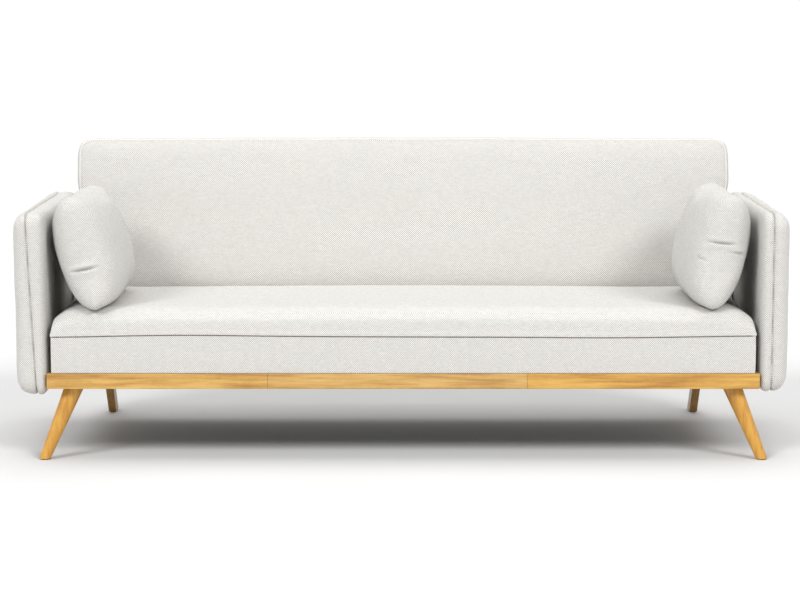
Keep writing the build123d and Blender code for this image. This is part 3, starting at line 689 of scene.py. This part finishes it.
def back_cushion():
    """The one-piece back: a crowned front panel, a boxing band and a flat rear panel."""
    low, high = back_limits()
    matrix = back_matrix()
    xs = grid_lines(low[0], high[0], CELL)
    ys = grid_lines(low[1], high[1], CELL)
    rear_seam = low[2] + 0.047
    zs = grid_lines(low[2], high[2], CELL, [rear_seam + shift for shift in SEAM_CELLS])
    points, faces = lattice_surface(xs, ys, zs)
    shaped = rounded(points, low, high, (0.03, 0.03, 0.014), (0.042, 0.04, 0.022), 2)
    piece = new_piece("back_cushion", to_row(shaped, matrix), faces, FABRIC, "back")

    def upper(rest):
        local = to_row(rest, matrix.inverted())
        return smoothstep((local[:, 1] - low[1]) / 0.06)

    swell(piece, 0.011, 3.0, 0.0035, upper)
    local = to_row(coordinates(piece), matrix.inverted())
    across = np.abs(local[:, 0]) / high[0]
    along = (local[:, 1] - low[1]) / (high[1] - low[1])
    crown = smoothstep((1 - across) * 3.0) * smoothstep((1 - along) * 3.0) * smoothstep(along * 3.0)
    local[:, 2] += 0.003 * crown * smoothstep((local[:, 2] - high[2] + 0.03) / 0.03)
    groove = np.exp(-((local[:, 2] - rear_seam) / 0.0017) ** 2)
    local = pull_in(local, low, high, 0.006 * groove - BACK_TOP_SPREAD * smoothstep((along - 0.6) / 0.16))
    local[:, 1] += (0.0025 - 0.0055 * across ** 3) * smoothstep(along)
    row = to_row(local, matrix)
    set_coordinates(piece, row)
    wander = fabric_noise(row, 0.14, 5) * 0.0011 + fabric_noise(row, 0.04, 6) * 0.0004
    set_coordinates(piece, row + vertex_normals(piece) * wander[:, None])
    subdivide(piece)
    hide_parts("back_front_cover", "back_rear_cover", "back_foam", "back_rear_wadding")

    tree = surface_tree(piece)
    inset = 0.0035
    front = high[2] - BACK_SEAM_DEPTH
    loop = rounded_loop((low[0] + inset, low[1] + inset), (high[0] - inset, high[1] - inset), 0.036)
    path = to_row(np.array([(x, y, front) for x, y in loop]), matrix)
    welt("back_front_welt", path, tree, "back", 0.0019, lift=0.0004)
    for name, shift in (("back_front_stitches", 0.006), ("back_rear_stitches", None)):
        if shift is not None:
            loop = rounded_loop((low[0] + 0.008, low[1] + 0.008), (high[0] - 0.008, high[1] - 0.008), 0.033)
            path = to_row(np.array([(x, y, high[2] - 0.002) for x, y in loop]), matrix)
        else:
            loop = rounded_loop((low[0], low[1]), (high[0], high[1]), 0.036)
            path = to_row(np.array([(x, y, rear_seam + 0.006) for x, y in loop]), matrix)
        stitches(name, path, tree, "back")


def pull_in(points, low, high, amount):
    """Points on the rim of a slab (the sides facing x and y) moved inwards by amount."""
    middle = (np.array(low) + np.array(high)) / 2
    half = (np.array(high) - np.array(low)) / 2
    offset = points - middle
    near_x = smoothstep((np.abs(offset[:, 0]) - half[0] + 0.04) / 0.02)
    near_y = smoothstep((np.abs(offset[:, 1]) - half[1] + 0.04) / 0.02)
    moved = points.copy()
    moved[:, 0] -= np.sign(offset[:, 0]) * amount * near_x
    moved[:, 1] -= np.sign(offset[:, 1]) * amount * near_y
    return moved


# ---------------------------------------------------------------- arms

ARM_SEAM_X = {"left": 0.9615, "right": 0.9555}
ARM_SEAM_SLANT = {"left": 0.042, "right": 0.0}
ARM_LEAN = {"left": 0.0085, "right": 0.003}
ARM_SEAM_MIDDLE_Z = 0.41
ARM_HANG = {"left": 0.013, "right": 0.005}
ARM_TRIM = {"left": 0.0, "right": 0.007}


def arm(side):
    """One upholstered slab arm with a stitched seam round its edge."""
    sign = SIDES[side]
    inner_low, inner_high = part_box(f"{side}_arm_inner_cover")
    outer_low, outer_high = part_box(f"{side}_arm_outer_cover")
    low = [min(abs(inner_low[0]), abs(inner_high[0])), inner_low[1], inner_low[2]]
    high = [max(abs(outer_low[0]), abs(outer_high[0])), inner_high[1], inner_high[2]]
    low[2] -= ARM_HANG[side]
    high[0] -= ARM_TRIM[side]
    seam = ARM_SEAM_X[side]
    xs = grid_lines(low[0], high[0], 0.9 * CELL, [seam + shift for shift in SEAM_CELLS])
    ys = grid_lines(low[1], high[1], CELL)
    zs = grid_lines(low[2], high[2], CELL)
    points, faces = lattice_surface(xs, ys, zs)
    front_half = rounded(points, low, high, (0.014, 0.032, 0.030), (0.03, 0.046, 0.042), 0)
    rear_half = rounded(points, low, high, (0.014, 0.020, 0.018), (0.03, 0.024, 0.020), 0)
    at_rear = (points[:, 1] > (low[1] + high[1]) / 2)[:, None]
    shaped = np.where(at_rear, rear_half, front_half)
    if sign < 0:
        shaped[:, 0] *= -1
        faces = [face[::-1] for face in faces]
    piece = new_piece(f"{side}_arm", shaped, faces, FABRIC, "base")

    def outside(rest):
        return 0.25 + 0.75 * smoothstep((np.abs(rest[:, 0]) - low[0]) / 0.03)

    swell(piece, 0.0095, 3.0, 0.003, outside)
    shaped = coordinates(piece)
    across = np.abs(shaped[:, 0])
    rim = np.stack([shaped[:, 1], shaped[:, 2]], axis=1)
    groove = np.exp(-((across - seam) / 0.0017) ** 2)
    pucker = 0.75 + 0.25 * np.sin((rim[:, 0] + rim[:, 1]) * 2 * math.pi / 0.014)
    bulge = np.exp(-((across - seam - 0.011) / 0.006) ** 2) + np.exp(-((across - seam + 0.011) / 0.006) ** 2)
    flat = np.stack([shaped[:, 1], shaped[:, 2], across], axis=1)
    flat = pull_in(flat, (low[1], low[2], low[0]), (high[1], high[2], high[0]),
                   0.0105 * groove * pucker - 0.0012 * bulge)
    shaped[:, 1:] = flat[:, :2]
    near_seam = 1 - smoothstep(np.abs(across - seam) / 0.03)
    slant = (shaped[:, 2] - ARM_SEAM_MIDDLE_Z) * ARM_SEAM_SLANT[side] * near_seam
    shaped[:, 0] += sign * (slant + (shaped[:, 2] - low[2]) * ARM_LEAN[side])
    set_coordinates(piece, shaped)
    wander = fabric_noise(shaped, 0.13, 9 + sign) * 0.0013 + fabric_noise(shaped, 0.04, 12 + sign) * 0.0005
    set_coordinates(piece, shaped + vertex_normals(piece) * wander[:, None])
    subdivide(piece)
    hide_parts(f"{side}_arm_inner_cover", f"{side}_arm_outer_cover", f"{side}_arm_padding")

    tree = surface_tree(piece)
    loop = rounded_loop((low[1], low[2]), (high[1], high[2]), 0.05, steps=12)
    for row, shift in (("inner", -0.0075), ("outer", 0.0075)):
        path = []
        for y, z in resampled_loop(loop):
            x = seam + shift + (z - ARM_SEAM_MIDDLE_Z) * ARM_SEAM_SLANT[side] + (z - low[2]) * ARM_LEAN[side]
            path.append((sign * x, y, z))
        stitches(f"{side}_arm_{row}_stitches", path, tree, "base")


# ---------------------------------------------------------------- loose cushions

CREASES = {
    # up the cushion, outwards across it, half length, depth, slope
    "left": ((-0.038, 0.008, 0.030, 0.011, 0.0),),
    "right": ((0.025, -0.002, 0.030, 0.008, 0.04), (0.004, 0.043, 0.018, 0.006, -0.05),
              (-0.023, -0.047, 0.010, 0.004, -0.5)),
}


PILLOWS = {
    # foot and head of the middle line as (x, z), rear and front ends, half thickness, all in metres
    "left": {"foot": (0.793, 0.384), "head": (0.856, 0.6905), "ends": (0.085, -0.422), "thick": 0.079},
    "right": {"foot": (0.797, 0.384), "head": (0.843, 0.6980), "ends": (0.085, -0.417), "thick": 0.076},
}


def pillow(side):
    """A loose cushion on its long edge: a plump bag with soft corners, leaning on the arm."""
    sign = SIDES[side]
    sizes = PILLOWS[side]
    foot, head = Vector(sizes["foot"]), Vector(sizes["head"])
    rear, front_end = sizes["ends"]
    lean = math.atan2(head.x - foot.x, head.y - foot.y)
    centre = np.array([(foot.x + head.x) / 2, (rear + front_end) / 2, (foot.y + head.y) / 2])
    half_height = (head - foot).length / 2
    half_length = (rear - front_end) / 2
    counts = (12, 56, 50)
    xs, ys, zs = [np.linspace(-1.0, 1.0, count) for count in counts]
    points, faces = lattice_surface(xs, ys, zs)
    a, c, b = points[:, 0], points[:, 1], points[:, 2]
    heights = np.maximum(1 - np.abs(b) ** np.where(b < 0, 2.9, 2.3), 0) ** 0.5
    corner = (b * c) ** 6
    ends = np.maximum(1 - np.abs(c) ** 4.2, 0) ** 0.5
    plump = 0.03 + 0.97 * heights * ends
    pulled_height = half_height * (1 - 0.05 * np.abs(c) ** 4 - 0.02 * (1 - c ** 2) * np.abs(b) ** 3)
    pulled_length = half_length * (1 - 0.07 * (1 - b ** 2) * np.abs(c) ** 3)
    pulled_length *= 1 - 0.05 * np.clip(b, 0, 1) ** 2 * np.clip(-c, 0, 1) ** 2
    pulled_height *= 1 - 0.05 * corner
    pulled_length *= 1 - 0.06 * corner
    local = np.stack([sizes["thick"] * a * plump, pulled_length * c, pulled_height * b], axis=1)
    local[:, 0] *= np.where(local[:, 0] > 0, 1.0 + 0.16 * b, 1.0 - 0.16 * b)
    turn = np.array(Matrix.Rotation(lean, 3, "Y"))
    shaped = local @ turn.T + centre
    if sign < 0:
        shaped[:, 0] *= -1
        faces = [face[::-1] for face in faces]
    centre[0] *= sign
    piece = new_piece(f"{side}_pillow", shaped, faces, FABRIC, f"{side}_cushion")
    swell(piece, 0.006, 4.0, 0.008)
    subdivide(piece)
    apply_modifiers(piece)

    shaped = coordinates(piece)
    rest = shaped - centre
    rest[:, 0] *= sign
    rest = rest @ turn
    front = smoothstep((-rest[:, 1] - 0.10) / 0.08)
    normals = vertex_normals(piece)
    for along, across, length, depth, tilt in CREASES[side]:
        off = rest[:, 2] - along - tilt * (rest[:, 0] - across)
        taper = np.exp(-((rest[:, 0] - across) / length) ** 4)
        fold = -depth * np.exp(-(off / 0.0026) ** 2) + 0.30 * depth * np.exp(-((off - 0.009) / 0.006) ** 2)
        fold += 0.22 * depth * np.exp(-((off + 0.010) / 0.007) ** 2)
        shaped += normals * (front * taper * fold)[:, None]
    edge = smoothstep((np.abs(rest[:, 2]) / half_height - 0.72) / 0.2)
    gathers = np.sin(rest[:, 1] * 2 * math.pi / 0.037 + 3 * fabric_noise(shaped, 0.08, 21 + sign))
    wander = fabric_noise(shaped, 0.075, 15 + sign) * 0.0022 + fabric_noise(shaped, 0.03, 18 + sign) * 0.0008
    wander += gathers * edge * 0.0009
    shaped += normals * wander[:, None]
    seat_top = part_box("seat_pad_cover")[1][2] + 0.0015
    arm_inner = min(abs(value[0]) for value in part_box(f"{side}_arm_inner_cover"))
    over_seat = shaped[:, 1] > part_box("seat_pad_cover")[0][1] + 0.05
    floor_z = np.where(over_seat, seat_top - 0.003, seat_top - 0.014)
    shaped[:, 2] = np.maximum(shaped[:, 2], floor_z)
    shaped[:, 0] = sign * np.minimum(np.abs(shaped[:, 0]), arm_inner - 0.001)
    set_coordinates(piece, shaped)
    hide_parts(f"{side}_cushion_cover", f"{side}_cushion_filling")


# ---------------------------------------------------------------- floor, lights and camera

def floor():
    """A plain pale floor."""
    n = Nodes("floor_paint")
    position, _ = n.place()
    tone = n.ramp(n.noise(position, 1.5, 2.0), [(0.3, (0.63, 0.63, 0.63)), (0.7, (0.65, 0.65, 0.65))])
    n.link(tone, n.shader.inputs["Base Color"])
    n.shader.inputs["Roughness"].default_value = 0.9
    n.shader.inputs["Specular IOR Level"].default_value = 0.1
    mesh = bpy.data.meshes.new("floor")
    size = 400.0
    mesh.from_pydata([(-size, -size, 0), (size, -size, 0), (size, size, 0), (-size, size, 0)], [], [(0, 1, 2, 3)])
    plane = bpy.data.objects.new("floor", mesh)
    plane.data.materials.append(n.material)
    bpy.context.scene.collection.objects.link(plane)


def soft_box(name, azimuth, elevation, strength, spread):
    """A distant soft box: azimuth from the front towards +X, and its spread, all in degrees."""
    light = bpy.data.lights.new(name, "SUN")
    light.energy = strength
    light.angle = math.radians(spread)
    lamp = bpy.data.objects.new(name, light)
    turn, rise = math.radians(azimuth), math.radians(elevation)
    lamp.location = (3 * math.sin(turn), -3 * math.cos(turn), 3 * math.sin(rise))
    shine = Vector((-math.sin(turn) * math.cos(rise), math.cos(turn) * math.cos(rise), -math.sin(rise)))
    lamp.rotation_euler = shine.to_track_quat("-Z", "Y").to_euler()
    bpy.context.scene.collection.objects.link(lamp)


def studio():
    """Two soft boxes at the front corners, one overhead, and a pale surround that is white at the horizon."""
    soft_box("left_box", -37.0, 37.0, 1.58, 20.0)
    soft_box("right_box", 37.0, 37.0, 1.58, 20.0)
    soft_box("top_box", 180.0, 80.0, 1.35, 50.0)
    world = bpy.data.worlds.new("studio")
    world.use_nodes = True
    tree = world.node_tree
    place = tree.nodes.new("ShaderNodeTexCoord")
    split = tree.nodes.new("ShaderNodeSeparateXYZ")
    sweep = tree.nodes.new("ShaderNodeValToRGB")
    sweep.color_ramp.elements[0].position = 0.06
    sweep.color_ramp.elements[0].color = (1.0, 1.0, 1.0, 1.0)
    sweep.color_ramp.elements[1].position = 0.16
    sweep.color_ramp.elements[1].color = (0.58, 0.58, 0.58, 1.0)
    tree.links.new(place.outputs["Generated"], split.inputs[0])
    tree.links.new(split.outputs["Z"], sweep.inputs[0])
    tree.links.new(sweep.outputs[0], tree.nodes["Background"].inputs[0])
    bpy.context.scene.world = world
    bpy.context.scene.view_settings.view_transform = "Standard"


def camera():
    """The camera stands in front of the middle, above the back, tipped slightly down."""
    data = bpy.data.cameras.new("camera")
    data.sensor_width = 36.0
    data.lens = 114.7
    view = bpy.data.objects.new("camera", data)
    view.location = (-0.0084, -6.9275, 1.2476)
    view.rotation_euler = (math.radians(90.0 - 7.22), 0.0, 0.0)
    bpy.context.scene.collection.objects.link(view)
    bpy.context.scene.camera = view


camera()
studio()
floor()
paint_cad_nodes()
seat_pad()
seat_border()
back_cushion()
for arm_side in SIDES:
    arm(arm_side)
    pillow(arm_side)
